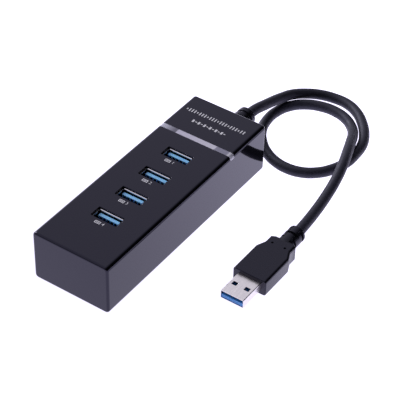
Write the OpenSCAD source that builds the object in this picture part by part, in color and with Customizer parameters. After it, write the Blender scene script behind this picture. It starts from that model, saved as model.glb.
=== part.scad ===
// Four-port hub: a bar-shaped housing with upright sockets along its top, a clear light bar
// across it, and a short captive lead that ends in a plug.
// Origin: middle of the underside. X runs across, Y runs along to the lead's end, Z is up.

/* [Housing] */
// Length of the housing
hub_l = 122; // [120:1:124]
// Width of the housing
hub_w = 41; // [40:0.5:42]
// Height of the housing
hub_h = 26.5; // [26:0.5:28]
// Wall thickness of the housing
wall = 2.2; // [2:0.1:2.4]
// Radius along the two long top edges
top_r = 2; // [1:0.25:2.2]
// Radius along the two long bottom edges
bottom_r = 2; // [1.5:0.25:3]
// Radius around each end
end_r = 1.2; // [0.4:0.1:1.4]

/* [Sockets] */
// Distance from one socket to the next
port_pitch = 17.4; // [17:0.1:17.8]
// Place of the socket nearest the light bar
first_port_y = 18.4; // [18:0.1:18.8]

/* [Light bar] */
// Place of the light bar along the housing
bar_y = 33.1; // [32:0.1:34]
// Width of the light bar
bar_w = 3; // [2:0.1:3.2]

/* [Lead] */
// Diameter of the lead's jacket
cable_d = 5.3; // [5:0.1:5.3]
// Length of the strain relief outside the housing
relief_len = 17; // [17:1:17]

/* [Plug] */
// Width of the plug's grip
grip_w = 17.3; // [16:0.1:18]
// Thickness of the plug's grip
grip_t = 8.6; // [8:0.1:8.8]
// Length of the plug's shell in front of the grip
plug_out = 13.5; // [12:0.5:14]

/* [Hidden] */
$fn = 64;
gap = 0.1;               // working clearance between mating pieces
big = 200;

// Colours
black_gloss = "#1b1b20";
black_soft = "#26262c";
steel = "#b8b5b4";
blue = "#2f74c4";
gold = "#c9a24a";

// Board and what stands on it
board_l = 111;
board_w = 34;
board_t = 1.6;
board_top = 9;
boss_x = 14;
boss_ys = [-49, 43];
boss_r = 2.6;
screw_r = 1;
leads_y = 49;

// Upright socket, measured from its own middle
shell_w = 13.2;
shell_d = 5.82;
shell_t = 0.35;
mouth_drop = 0.9;        // the lips sit this far below the top of the housing
mouth_z = hub_h - mouth_drop;
lip_out = 0.12;          // how far each lip flares outwards
lip_h = 0.8;
cutout_w = 13.9;
cutout_d = 6.5;
cutout_r = 0.6;
tongue_w = 11.1;
tongue_t = 1.84;
tongue_near = 0.05;      // face of the tongue that carries the contacts
tongue_drop = 1;         // the tongue's tip below the mouth
insert_base_h = 5;
pin_w = 0.7;
long_pins_x = [-3.5, -1, 1, 3.5];
short_pins_x = [-4, -2, 0, 2, 4];
notch_h = 2.4;           // pocket for each short contact, from here to just below the tip
notch_lid = 0.4;         // what is left above each pocket
leg_drop = 2.6;          // how far legs and pins reach below the board's top

// Snap hooks of the bottom cover
hook_ys = [-44, -14, 14, 44];
hook_w = 6;
hook_t = 1.1;
hook_top = 7;
barb = 0.6;
plate_t = 2;

// Light guide and its lamps
guide_w = 22;
guide_d = 2.4;
lamp_h = 1.2;
flange_t = 1.2;

// Lead and strain relief
cable_z = hub_h / 2;
neck_r = 4.6;
relief_r = 5;
relief_y = hub_l / 2;
rib_pitch = 4;
rib_w = 2.6;
relief_core = 3.9;
nose_len = 1.4;

// Plug, measured from the middle of the grip's front face
plug_x = 60.6;
plug_y = -12;
plug_z = grip_t / 2;
plug_w = 12;
plug_h = 4.5;
plug_t = 0.3;
shell_in = 7;            // length of the shell inside the grip
grip_l = 18.3;           // full-width stretch of the grip
taper_l = 4.5;
block_l = 5.5;
block_w = 13.4;
tail_l = 11.7;
tail_r = 4.3;
tail_core = 3.2;
tail_web = 4.4;          // what joins the tail's rings, between two opposite slots
slot_w = 1.4;
dimple = [3.3, 23.4];    // place of the two dimples on top of the grip
dimple_r = 0.6;
slot_pitch = 3.2;
grip_end = grip_l + taper_l + block_l;
plug_end = plug_y + grip_end + tail_l;

// Route of the lead's centreline, from the strain relief to the plug
route = [[0, relief_y + relief_len, cable_z], [0.5, 84.5, 12.7], [1, 91, 11.2], [1.5, 97.5, 9.7],
    [2.5, 104.5, 8.1], [4, 111.5, 6.4], [8, 118, 4.8], [13.5, 123, 3.5], [20.5, 125.7, 2.65],
    [28, 125.5, 2.65], [35.5, 122.2, 2.65], [42, 116.5, 2.65], [47.2, 109.7, 2.65], [50.7, 102, 2.65],
    [51.8, 93.5, 2.65], [51.4, 85, 2.65], [48.6, 77, 2.65], [44, 70.8, 2.65], [38, 66.8, 2.65],
    [31, 65.3, 2.65], [24, 66.2, 2.65], [16.5, 69.7, 2.65], [10.2, 75.2, 2.65], [5.3, 82.2, 2.65],
    [2.8, 90.5, 2.65], [2.8, 99, 2.65], [5.7, 107, 2.65], [11.6, 113, 2.65], [19, 116.1, 2.65],
    [26.8, 116.6, 2.65], [34, 114.5, 2.65], [40, 109.9, 2.9], [44.4, 103.2, 4.7], [47.7, 95.5, 6.8],
    [51, 87, 8.4], [54.1, 78, 8.6], [56.7, 67, 7], [58.3, 55, 5.1], [59.7, 41, plug_z],
    [plug_x, plug_end, plug_z]];
cable_sides = 10;

// ---------- shapes shared by several pieces ----------

// Rectangle centred on the origin with four equal round corners
module round_rect(w, h, r) {
    square([w - 2 * r, h], center = true);
    square([w, h - 2 * r], center = true);
    for (x = [-1, 1], y = [-1, 1]) translate([x * (w / 2 - r), y * (h / 2 - r)]) circle(r);
}

// Cross-section of the housing, standing on the X axis
module cross_section() {
    translate([-hub_w / 2 + bottom_r, 0]) square([hub_w - 2 * bottom_r, hub_h]);
    translate([-hub_w / 2, bottom_r]) square([hub_w, hub_h - bottom_r - top_r]);
    for (s = [-1, 1]) {
        translate([s * (hub_w / 2 - bottom_r), bottom_r]) circle(bottom_r);
        translate([s * (hub_w / 2 - top_r), hub_h - top_r]) circle(top_r);
    }
}

// Outside of the housing as one solid block: the cross-section, with its ends rounded off
module outside_block() {
    intersection() {
        rotate([90, 0, 0]) linear_extrude(hub_l, center = true) cross_section();
        translate([0, 0, hub_h / 2]) rotate([90, 0, 90])
            linear_extrude(hub_w + 2, center = true) round_rect(hub_l, hub_h, end_r);
        translate([0, 0, -1]) linear_extrude(hub_h + 2) round_rect(hub_w, hub_l, end_r);
    }
}

// Box given by its middle in X and Y, its underside and its size
module block(size, at) {
    translate([at[0] - size[0] / 2, at[1] - size[1] / 2, at[2]]) cube(size);
}

function port_y(i) = first_port_y - (i - 1) * port_pitch;

module at_boss() {
    for (x = [-boss_x, boss_x], y = boss_ys) translate([x, y, 0]) children();
}

module at_hook() {
    for (s = [0, 1], y = hook_ys) mirror([s, 0, 0]) translate([hub_w / 2 - wall, y, 0]) children();
}

// ---------- housing ----------

// Deep cover: top, four walls and the bosses that the board is screwed to
module top_cover() {
    color(black_gloss) difference() {
        union() {
            difference() {
                outside_block();
                block([hub_w - 2 * wall, hub_l - 2 * wall, hub_h - wall + 1], [0, 0, -1]);
            }
            at_boss() translate([0, 0, board_top])
                cylinder(r = boss_r, h = hub_h - wall - board_top + 0.5);
        }
        for (i = [1 : 4]) translate([0, port_y(i), hub_h - wall - 1])
            linear_extrude(wall + 2) round_rect(cutout_w, cutout_d, cutout_r);
        block([hub_w + 2, bar_w, wall + 1], [0, bar_y, hub_h - wall]);
        at_boss() translate([0, 0, board_top - 1]) cylinder(r = screw_r - 0.15, h = 8);
        translate([0, relief_y - wall - 1, cable_z]) rotate([-90, 0, 0])
            cylinder(r = neck_r, h = wall + 2);
        at_hook() translate([-1, -hook_w / 2 - 0.2, hook_top - 2]) cube([1.8, hook_w + 0.4, 2.3]);
    }
}

// One snap hook: a springy tab with a sloped barb that faces outwards
module hook() {
    translate([-hook_t - 0.2, hook_w / 2, 0]) rotate([90, 0, 0]) linear_extrude(hook_w)
        polygon([[0, plate_t - 0.5], [hook_t, plate_t - 0.5], [hook_t, hook_top - 1.7],
            [hook_t + barb, hook_top - 1.5], [hook_t, hook_top], [0, hook_top]]);
}

// Flat plate that closes the underside, with snap hooks and stiffening ribs
module bottom_cover() {
    inner_w = hub_w - 2 * wall - 2 * gap;
    inner_l = hub_l - 2 * wall - 2 * gap;
    color(black_soft) {
        union() {
            block([inner_w, inner_l, plate_t], [0, 0, 0]);
            at_hook() hook();
            for (x = [-9, 9]) block([1.2, inner_l - 24, 2.4], [x, 0, plate_t - 0.5]);
            for (y = [-30, 0, 30]) block([16, 1.2, 2.4], [0, y, plate_t - 0.5]);
        }
    }
}

// Clear bar across the top, flush with the housing and wrapped over both long edges
module light_bar() {
    color("#c9ced6", 0.8) {
        intersection() {
            outside_block();
            block([hub_w + 2, bar_w - gap / 2, wall + 1], [0, bar_y, hub_h - wall]);
        }
        block([board_w, bar_w + 3, flange_t], [0, bar_y, hub_h - wall - flange_t]);
    }
}

// White guide that carries the light from the lamps up to the middle of the bar
module light_guide() {
    base_z = board_top + lamp_h + 0.2;
    top_z = hub_h - wall - flange_t;
    color("#e8eaee") {
        block([guide_w, guide_d, top_z - base_z - 0.02], [0, bar_y, base_z]);
        for (s = [-1, 1]) block([1.2, guide_d, lamp_h + 0.7], [s * (guide_w / 2 - 0.6), bar_y, board_top]);
    }
}

// ---------- board and its components ----------

module circuit_board() {
    color("#1d5a36") difference() {
        block([board_w, board_l, board_t], [0, 0, board_top - board_t]);
        at_boss() translate([0, 0, board_top - board_t - 1]) cylinder(r = 1.4, h = board_t + 2);
        for (i = [1 : 4]) translate([0, port_y(i), board_top - board_t - 1]) {
            for (x = long_pins_x) translate([x, -1.6, 0]) cylinder(r = 0.5, h = board_t + 2);
            for (x = short_pins_x) translate([x, 1, 0]) cylinder(r = 0.5, h = board_t + 2);
            for (s = [-1, 1]) block([0.9, 3, board_t + 2], [s * (shell_w - shell_t) / 2, 0, 0]);
        }
    }
}

// Thin flared lip along one side of a socket's mouth
module lip(length) {
    translate([-length / 2, 0, 0]) rotate([90, 0, 90]) linear_extrude(length)
        polygon([[-shell_t, -lip_h], [0, -lip_h], [lip_out, 0], [lip_out - shell_t, 0]]);
}

// Folded steel shell of an upright socket, with flared lips, spring fingers and two legs
module port_shell(i) {
    body_h = mouth_z - lip_h - board_top;
    color(steel) translate([0, port_y(i), 0]) {
        difference() {
            union() {
                block([shell_w, shell_d, body_h], [0, 0, board_top]);
                for (s = [-1, 1])
                    block([shell_t, 2.6, leg_drop + 0.5],
                        [s * (shell_w - shell_t) / 2, 0, board_top - leg_drop]);
                for (a = [0, 180]) rotate(a) translate([0, shell_d / 2, mouth_z]) lip(12);
                for (a = [90, 270]) rotate(a) translate([0, shell_w / 2, mouth_z]) lip(4.8);
            }
            block([shell_w - 2 * shell_t, shell_d - 2 * shell_t, body_h + 2], [0, 0, board_top - 0.01]);
            for (x = [-3, 3]) difference() {
                block([2.6, shell_d + 2, 7], [x, 0, mouth_z - 10.5]);
                block([1.8, shell_d + 4, 6.6], [x, 0, mouth_z - 10.6]);
            }
        }
    }
}

// Blue moulded insert of a socket: a base and the tongue that carries the contacts
module port_insert(i) {
    tip_z = mouth_z - tongue_drop;
    color(blue) translate([0, port_y(i), 0]) difference() {
        union() {
            block([shell_w - 2 * shell_t - gap, shell_d - 2 * shell_t - gap, insert_base_h],
                [0, 0, board_top + 0.02]);
            block([tongue_w, tongue_t, tip_z - board_top - 1],
                [0, tongue_near + tongue_t / 2, board_top + 1]);
        }
        // grooves of the long contacts, down the near face and through the base
        for (x = long_pins_x)
        {
            block([pin_w + 0.2, 0.4, big], [x, tongue_near + 0.15, tip_z - notch_h - 1.2 - big]);
            block([pin_w + 0.2, 2.3, 0.5], [x, -0.75, board_top]);
        }
        // pockets near the tip and slots down the core for the short contacts
        for (x = short_pins_x) {
            block([1.2, 1, notch_h - notch_lid], [x, tongue_near + 0.4, tip_z - notch_h]);
            block([pin_w + 0.1, 0.4, big], [x, tongue_near + 1.1, tip_z - notch_h - big + 0.5]);
        }
    }
}

// Contacts of a socket: four long springs on the tongue and five short ones at its tip
module port_contacts(i) {
    tip_z = mouth_z - tongue_drop;
    low_z = board_top - leg_drop;
    color(gold) translate([0, port_y(i), 0]) {
        for (x = long_pins_x) {
            top_z = tip_z - notch_h - 1.5;
            block([pin_w, 0.25, top_z - board_top - 0.1], [x, tongue_near + 0.15, board_top + 0.1]);
            block([pin_w, 2, 0.25], [x, -0.7, board_top + 0.1]);
            block([0.5, 0.25, board_top + 0.3 - low_z], [x, -1.6, low_z]);
        }
        for (x = short_pins_x) {
            block([pin_w, 0.25, tip_z - notch_h - board_top + 0.3], [x, tongue_near + 1.1, board_top]);
            block([pin_w, 0.8, 0.25], [x, tongue_near + 0.85, tip_z - notch_h + 0.2]);
            block([pin_w, 0.25, notch_h - notch_lid - 0.4], [x, tongue_near + 0.5, tip_z - notch_h + 0.2]);
            block([0.5, 0.25, leg_drop + 0.1], [x, 1.1, low_z]);
        }
    }
}

// Flat square package of the controller that serves the four sockets
chip_at = [0, -42.5, board_top];
chip_w = 9;
module hub_controller() {
    color("#202024") difference() {
        translate([chip_at[0], chip_at[1], board_top + 0.1]) linear_extrude(1.4)
            round_rect(chip_w, chip_w, 0.3);
        translate([chip_at[0] - 3.3, chip_at[1] + 3.3, board_top + 1.4]) cylinder(r = 0.5, h = 1);
    }
}

// Gull-wing leads around the controller, twelve a side
module controller_leads() {
    color(steel) for (a = [0 : 90 : 270], k = [0 : 11])
        translate([chip_at[0], chip_at[1], board_top]) rotate(a)
            translate([chip_w / 2, (k - 5.5) * 0.65 - 0.15, 0.01]) rotate([90, 0, 0])
                mirror([0, 0, 1]) linear_extrude(0.3)
                    polygon([[0, 0.7], [0.35, 0.7], [0.65, 0.18], [1.2, 0.18], [1.2, 0], [0.55, 0],
                        [0.25, 0.54], [0, 0.54]]);
}

// Metal can of the clock crystal
module crystal() {
    color(steel) translate([11.5, -42.5, board_top + 0.01]) {
        linear_extrude(0.5) {
            square([4.6, 7], center = true);
            for (s = [-1, 1]) translate([0, s * 3.5]) circle(2.3);
        }
        linear_extrude(3.4) {
            square([3.8, 7], center = true);
            for (s = [-1, 1]) translate([0, s * 3.5]) circle(1.9);
        }
    }
}

// Three surface-mounted lamps under the light guide
module status_leds() {
    color("#e9e4d2") for (x = [-7, 0, 7]) {
        block([2, 1.25, 0.5], [x, bar_y, board_top + 0.01]);
        block([1.2, 1.2, lamp_h - 0.1], [x, bar_y, board_top + 0.01]);
    }
}

// Small regulator with three legs and a wide tab
module voltage_regulator() {
    color("#232327") translate([-11, 28, board_top]) {
        block([6.5, 3.5, 1.5], [0, 0, 0.15]);
        block([3, 2, 0.25], [0, 2.4, 0.02]);
        for (x = [-2.3, 0, 2.3]) block([0.7, 2, 0.25], [x, -2.4, 0.02]);
    }
}

// Upright electrolytic capacitors on square feet
module bulk_capacitors() {
    color("#c4c6cb") for (p = [[-13.5, 9.7], [-13.5, -25], [13.5, -7.8]])
        translate([p[0], p[1], board_top]) {
            block([5, 5, 0.9], [0, 0, 0.01]);
            cylinder(r = 2.4, h = 5.6);
        }
}

// Chip resistors in rows beside the sockets
module chip_resistors() {
    color("#1e1e22") for (i = [1 : 4], k = [0 : 3])
        block([1.6, 0.8, 0.5], [10.5 + (k % 2) * 3, port_y(i) - 2.4 + floor(k / 2) * 4.8, board_top + 0.01]);
}

// Ceramic chip capacitors beside the sockets and around the controller
module chip_capacitors() {
    color("#a98a63") {
        for (i = [1 : 4], k = [0 : 1])
            block([0.9, 1.7, 0.9], [-9.4, port_y(i) - 1.6 + k * 3.2, board_top + 0.01]);
        for (a = [45 : 90 : 315])
            block([1.7, 0.9, 0.9], [chip_at[0] + 9 * cos(a), chip_at[1] + 9 * sin(a), board_top + 0.01]);
    }
}

// Self-tapping screws that hold the board up against the bosses
module board_screws() {
    head_h = 1.6;
    color(steel) at_boss() difference() {
        union() {
            translate([0, 0, board_top - board_t - head_h]) cylinder(r = 2.2, h = head_h);
            translate([0, 0, board_top - board_t - 0.2]) cylinder(r = screw_r - 0.15, h = 7);
        }
        for (a = [0, 90]) rotate(a) block([2.6, 0.5, 1.7], [0, 0, board_top - board_t - head_h - 0.8]);
    }
}

// Insulated wires of the lead, fanned from the strain relief down to the board
module cable_leads() {
    color("#b23a30") for (k = [0 : 8]) {
        a = [(k % 3 - 1) * 1.5, relief_y - wall - 1.85, cable_z + (1 - floor(k / 3)) * 1.5];
        b = [((k % 3) * 3 + floor(k / 3) - 4) * 2.2, leads_y + (k % 2) * 1.6, board_top + 0.5];
        v = b - a;
        translate(a) rotate([0, acos(v[2] / norm(v)), atan2(v[1], v[0])])
            cylinder(r = 0.45, h = norm(v), $fn = 24);
    }
}

// ---------- lead ----------

// Ribbed strain relief: an inner flange, a neck in the wall and ribs that taper outwards
module hub_strain_relief() {
    flange_y = -wall - 1.8;
    ribs = 3;
    first_rib = relief_len - nose_len - (ribs - 1) * rib_pitch - rib_w;
    color(black_soft) translate([0, relief_y, cable_z]) rotate([-90, 0, 0]) rotate_extrude() {
        translate([0, flange_y]) square([6.2, 1.8 - gap]);
        translate([0, flange_y + 1]) square([neck_r - gap / 2, wall + 2]);
        square([relief_r, first_rib - 1.4]);
        square([relief_core, relief_len - nose_len]);
        for (k = [0 : ribs - 1]) translate([0, first_rib + k * rib_pitch])
            square([relief_r - k * 0.1, rib_w]);
        polygon([[0, relief_len - nose_len], [relief_core, relief_len - nose_len],
            [cable_d / 2 + 0.3, relief_len], [0, relief_len]]);
    }
}

function unit(v) = v / norm(v);
function heading(i) = i == 0 ? [0, 1, 0] : i == len(route) - 1 ? [0, -1, 0] :
    unit(route[i + 1] - route[i - 1]);
function ring(i) = let (t = heading(i), side = unit(cross(t, [0, 0, 1])), rise = cross(side, t))
    [for (k = [0 : cable_sides - 1]) let (a = 360 * k / cable_sides)
        route[i] + cable_d / 2 * (cos(a) * side + sin(a) * rise)];

// Free stretch of the lead, swept along its route
module cable_jacket() {
    n = cable_sides;
    last = len(route) - 1;
    points = [for (i = [0 : last]) each ring(i)];
    walls = [for (i = [0 : last - 1], k = [0 : n - 1]) let (a = i * n + k, b = i * n + (k + 1) % n)
        each [[a, b, b + n], [a, b + n, a + n]]];
    ends = [[for (k = [n - 1 : -1 : 0]) k], [for (k = [0 : n - 1]) last * n + k]];
    color(black_soft) polyhedron(points, concat(walls, ends));
}

// ---------- plug ----------

// Outline of the grip seen from above, from its front face back to the tail
module grip_outline() {
    polygon([[-grip_w / 2, 0], [grip_w / 2, 0], [grip_w / 2, grip_l], [block_w / 2, grip_l + taper_l],
        [block_w / 2, grip_end - 1], [block_w / 2 - 1, grip_end], [-block_w / 2 + 1, grip_end],
        [-block_w / 2, grip_end - 1], [-block_w / 2, grip_l + taper_l], [-grip_w / 2, grip_l]]);
}

// Pair of opposite slots round the tail, left and right, or above and below when turned
module tail_slots(turn) {
    rotate(turn) difference() {
        cylinder(r = tail_r + 1, h = slot_w);
        translate([0, 0, -1]) cylinder(r = tail_core, h = slot_w + 2);
        block([tail_web, 3 * tail_r, slot_w + 2], [0, 0, -1]);
    }
}

// Moulded grip of the plug with its slotted tail and two dimples
module plug_grip() {
    edge_r = 1.3;
    tip_r = 0.8;
    color(black_soft) translate([plug_x, plug_y, plug_z]) difference() {
        union() {
            intersection() {
                translate([0, 0, -grip_t]) linear_extrude(2 * grip_t) grip_outline();
                rotate([90, 0, 0]) linear_extrude(2 * grip_end, center = true)
                    round_rect(grip_w, grip_t, edge_r);
            }
            rotate([-90, 0, 0]) translate([0, 0, grip_end - 2]) difference() {
                union() {
                    cylinder(r = tail_r, h = tail_l + 2 - tip_r);
                    translate([0, 0, tail_l + 2 - tip_r]) cylinder(r1 = tail_r, r2 = tail_r - tip_r, h = tip_r);
                }
                for (k = [0 : 2]) translate([0, 0, 4 + k * slot_pitch]) tail_slots(90 * (k % 2));
            }
        }
        block([plug_w + gap, 2 * (shell_in + gap / 2), plug_h + gap], [0, 0, -plug_h / 2 - gap / 2]);
        for (s = [-1, 1]) translate([s * dimple[0], dimple[1], grip_t / 2 - 0.5]) cylinder(r = dimple_r, h = 1);
    }
}

// Folded steel shell of the plug with two square windows on each broad side
module plug_shell() {
    color(steel) translate([plug_x, plug_y, plug_z]) difference() {
        rotate([90, 0, 0]) translate([0, 0, -shell_in]) linear_extrude(plug_out + shell_in)
            round_rect(plug_w, plug_h, 0.5);
        rotate([90, 0, 0]) translate([0, 0, -shell_in - 1]) linear_extrude(plug_out + shell_in + 2)
            round_rect(plug_w - 2 * plug_t, plug_h - 2 * plug_t, 0.25);
        for (x = [-3.2, 3.2]) block([2.5, 2.2, big], [x, -6.5, -big / 2]);
    }
}

// Blue insert that fills the lower half of the plug's mouth
insert_t = 1.95;
insert_low = -plug_h / 2 + plug_t + 0.02;
insert_front = -plug_out + 0.3;
module plug_insert() {
    color(blue) translate([plug_x, plug_y, plug_z]) difference() {
        union() {
            translate([-5.65, insert_front, insert_low]) cube([11.3, -insert_front + shell_in - 0.5, insert_t]);
            block([11.2, 4, plug_h - 2 * plug_t - 0.1], [0, shell_in - 2.6, insert_low]);
        }
        for (x = long_pins_x) translate([x - 0.6, insert_front + 1, insert_low + insert_t - 0.2])
            cube([1.2, 7.4, 1]);
        for (x = short_pins_x) translate([x - 0.6, -4, insert_low + insert_t - 0.5]) cube([1.2, 3.2, 1]);
    }
}

// Contacts of the plug: four flat bars in front and five sprung ones behind
module plug_contacts() {
    color(gold) translate([plug_x, plug_y, plug_z]) {
        for (x = long_pins_x) translate([x - 0.5, insert_front + 1.1, insert_low + insert_t - 0.2])
            cube([1, 7.2, 0.2]);
        for (x = short_pins_x) translate([x - 0.5, -0.9, insert_low + insert_t - 0.5]) rotate([90, 0, 90])
            linear_extrude(1) polygon([[0, 0], [0, 0.25], [-1.5, 0.75], [-2.6, 0.3], [-3, 0.3], [-3, 0.1],
                [-2.5, 0.1], [-1.5, 0.5]]);
    }
}

top_cover();
bottom_cover();
light_bar();
light_guide();
circuit_board();
port_shell(1);  // port_1_shell
port_shell(2);  // port_2_shell
port_shell(3);  // port_3_shell
port_shell(4);  // port_4_shell
port_insert(1);  // port_1_insert
port_insert(2);  // port_2_insert
port_insert(3);  // port_3_insert
port_insert(4);  // port_4_insert
port_contacts(1);  // port_1_contacts
port_contacts(2);  // port_2_contacts
port_contacts(3);  // port_3_contacts
port_contacts(4);  // port_4_contacts
hub_controller();
controller_leads();
crystal();
status_leds();
voltage_regulator();
bulk_capacitors();
chip_resistors();
chip_capacitors();
board_screws();
cable_leads();
hub_strain_relief();
cable_jacket();
plug_grip();
plug_shell();
plug_insert();
plug_contacts();
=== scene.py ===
# %% [markdown]
# # A four-socket hub with a captive lead
# This lesson dresses a bar-shaped hub: a gloss black housing with four upright sockets, a clear
# light bar across its top, and a short lead that curls once and ends in a plug.
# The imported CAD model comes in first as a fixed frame. Every size and place below is read from it,
# or is a named value in millimetres, so nothing has to be fitted by eye afterwards.

# %% Load the frame
from math import pi, radians
import bmesh
import bpy
from mathutils import Matrix, Vector


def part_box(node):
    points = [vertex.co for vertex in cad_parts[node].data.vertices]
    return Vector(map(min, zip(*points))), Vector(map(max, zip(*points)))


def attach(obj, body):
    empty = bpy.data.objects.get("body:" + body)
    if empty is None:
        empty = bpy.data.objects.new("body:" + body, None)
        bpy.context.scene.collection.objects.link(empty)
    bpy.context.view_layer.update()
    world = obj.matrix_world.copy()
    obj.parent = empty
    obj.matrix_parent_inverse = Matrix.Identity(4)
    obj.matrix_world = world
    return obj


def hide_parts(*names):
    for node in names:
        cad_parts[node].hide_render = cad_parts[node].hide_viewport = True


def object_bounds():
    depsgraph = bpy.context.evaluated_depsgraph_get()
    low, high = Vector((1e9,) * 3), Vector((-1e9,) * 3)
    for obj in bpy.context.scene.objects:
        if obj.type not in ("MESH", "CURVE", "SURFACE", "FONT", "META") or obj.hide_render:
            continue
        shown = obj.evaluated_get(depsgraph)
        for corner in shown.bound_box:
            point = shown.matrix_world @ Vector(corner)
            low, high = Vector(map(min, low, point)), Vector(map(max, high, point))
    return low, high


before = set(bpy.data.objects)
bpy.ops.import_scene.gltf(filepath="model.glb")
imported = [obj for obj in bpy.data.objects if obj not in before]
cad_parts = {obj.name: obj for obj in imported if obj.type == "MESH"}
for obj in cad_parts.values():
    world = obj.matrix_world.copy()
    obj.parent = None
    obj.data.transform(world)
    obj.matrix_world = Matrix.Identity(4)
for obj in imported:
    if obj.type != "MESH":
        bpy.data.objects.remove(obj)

cad_low, cad_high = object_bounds()
MM = 0.001
print("CAD box, mm:", [round(v / MM, 1) for v in (*cad_low, *cad_high)])

# %% [markdown]
# ## The camera
# A product picture of a small object is taken from some distance with a long lens, so that the long
# edges stay nearly parallel. The camera stands in front, to the right and well above the hub.
# It is turned in three plain steps: round the upright axis, down from level, and a slight roll.

# %% Camera
CAMERA_AT = (0.33694, -0.45947, 0.50304)
CAMERA_TURN = radians(34.13)
CAMERA_TILT = radians(49.29)
CAMERA_ROLL = radians(1.26)

bpy.ops.object.select_all(action="DESELECT")
bpy.ops.object.camera_add()
camera = bpy.context.object
camera.name = "camera"
camera.data.sensor_width = 36
camera.data.lens = 148.56
camera.matrix_world = (
    Matrix.Translation(CAMERA_AT)
    @ Matrix.Rotation(CAMERA_TURN, 4, "Z")
    @ Matrix.Rotation(CAMERA_TILT, 4, "X")
    @ Matrix.Rotation(CAMERA_ROLL, 4, "Z")
)
bpy.context.scene.camera = camera
bpy.context.scene.view_settings.view_transform = "Standard"
print("camera lens:", camera.data.lens)

# %% [markdown]
# ## The lead
# The lead is a limp PVC cable, 5.3 mm thick. It could be simulated, but it has to lie where the CAD
# solid lies, so the listed points of that route are used again here, now in metres.
# A curve with a round bevel is the simplest cord: its own line is the centreline, and automatic
# handles bend it smoothly through every point.

# %% Route of the lead
ROUTE = [
    (0, 0.078, 0.01325), (0.0005, 0.0845, 0.0127), (0.001, 0.091, 0.0112),
    (0.0015, 0.0975, 0.0097), (0.0025, 0.1045, 0.0081), (0.004, 0.1115, 0.0064),
    (0.008, 0.118, 0.0048), (0.0135, 0.123, 0.0035), (0.0205, 0.1257, 0.00265),
    (0.028, 0.1255, 0.00265), (0.0355, 0.1222, 0.00265), (0.042, 0.1165, 0.00265),
    (0.0472, 0.1097, 0.00265), (0.0507, 0.102, 0.00265), (0.0518, 0.0935, 0.00265),
    (0.0514, 0.085, 0.00265), (0.0486, 0.077, 0.00265), (0.044, 0.0708, 0.00265),
    (0.038, 0.0668, 0.00265), (0.031, 0.0653, 0.00265), (0.024, 0.0662, 0.00265),
    (0.0165, 0.0697, 0.00265), (0.0102, 0.0752, 0.00265), (0.0053, 0.0822, 0.00265),
    (0.0028, 0.0905, 0.00265), (0.0028, 0.099, 0.00265), (0.0057, 0.107, 0.00265),
    (0.0116, 0.113, 0.00265), (0.019, 0.1161, 0.00265), (0.0268, 0.1166, 0.00265),
    (0.034, 0.1145, 0.00265), (0.04, 0.1099, 0.0029), (0.0444, 0.1032, 0.0047),
    (0.0477, 0.0955, 0.0068), (0.051, 0.087, 0.0084), (0.0541, 0.078, 0.0086),
    (0.0567, 0.067, 0.007), (0.0583, 0.055, 0.0051), (0.0597, 0.041, 0.0043),
    (0.0606, 0.028, 0.0043),
]
LEAD_D = 5.3 * MM

line = bpy.data.curves.new("lead_jacket", "CURVE")
line.dimensions = "3D"
line.bevel_depth = LEAD_D / 2
line.bevel_resolution = 8
line.resolution_u = 8
line.use_fill_caps = True
spline = line.splines.new("BEZIER")
spline.bezier_points.add(len(ROUTE) - 1)
for point, place in zip(spline.bezier_points, ROUTE):
    point.co = place
    point.handle_left_type = point.handle_right_type = "AUTO"
lead = bpy.data.objects.new("lead_jacket", line)
bpy.context.scene.collection.objects.link(lead)
print("lead points:", len(ROUTE))

# %% [markdown]
# ## Tools for colours and nodes
# Colours are written as the hex codes that a colour picker shows. Blender reckons in linear light,
# so one function turns them over. A second one adds a node, sets it and links it, which keeps a
# material's code short enough to read as a list of nodes.

# %% Colour and node tools
def hexa(code):
    """The linear colour of an sRGB hex code."""
    channels = [int(code[i:i + 2], 16) / 255 for i in (1, 3, 5)]
    linear = [c / 12.92 if c <= 0.04045 else ((c + 0.055) / 1.055) ** 2.4 for c in channels]
    return (*linear, 1.0)


def add(owner, kind, sockets=None, **settings):
    """Adds a node to a material or world, sets it, and links the sockets given as outputs."""
    node = owner.node_tree.nodes.new(kind)
    for name, value in settings.items():
        setattr(node, name, value)
    for name, value in (sockets or {}).items():
        if isinstance(value, bpy.types.NodeSocket):
            owner.node_tree.links.new(value, node.inputs[name])
        else:
            node.inputs[name].default_value = value
    return node


def new_material(name, sockets):
    """A material whose shader has these socket values."""
    material = bpy.data.materials.new(name)
    material.use_nodes = True
    shader = material.node_tree.nodes["Principled BSDF"]
    for socket, value in sockets.items():
        shader.inputs[socket].default_value = value
    return material


# %% [markdown]
# ## Studio
# The hub lies on a seamless white table. A glossy black housing shows nothing but what it reflects,
# so the studio is built for its reflections: the white table fills the upright faces, a wide soft
# glow from the left fills the top, and the right and the back stay dark, which draws the long
# rounded edge as a black line.
# The table gives off its own white, as a lit table does, so it is over-exposed and shows no shadow.
# Its light is a little violet and grows towards the back, which only its reflections show.

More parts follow.
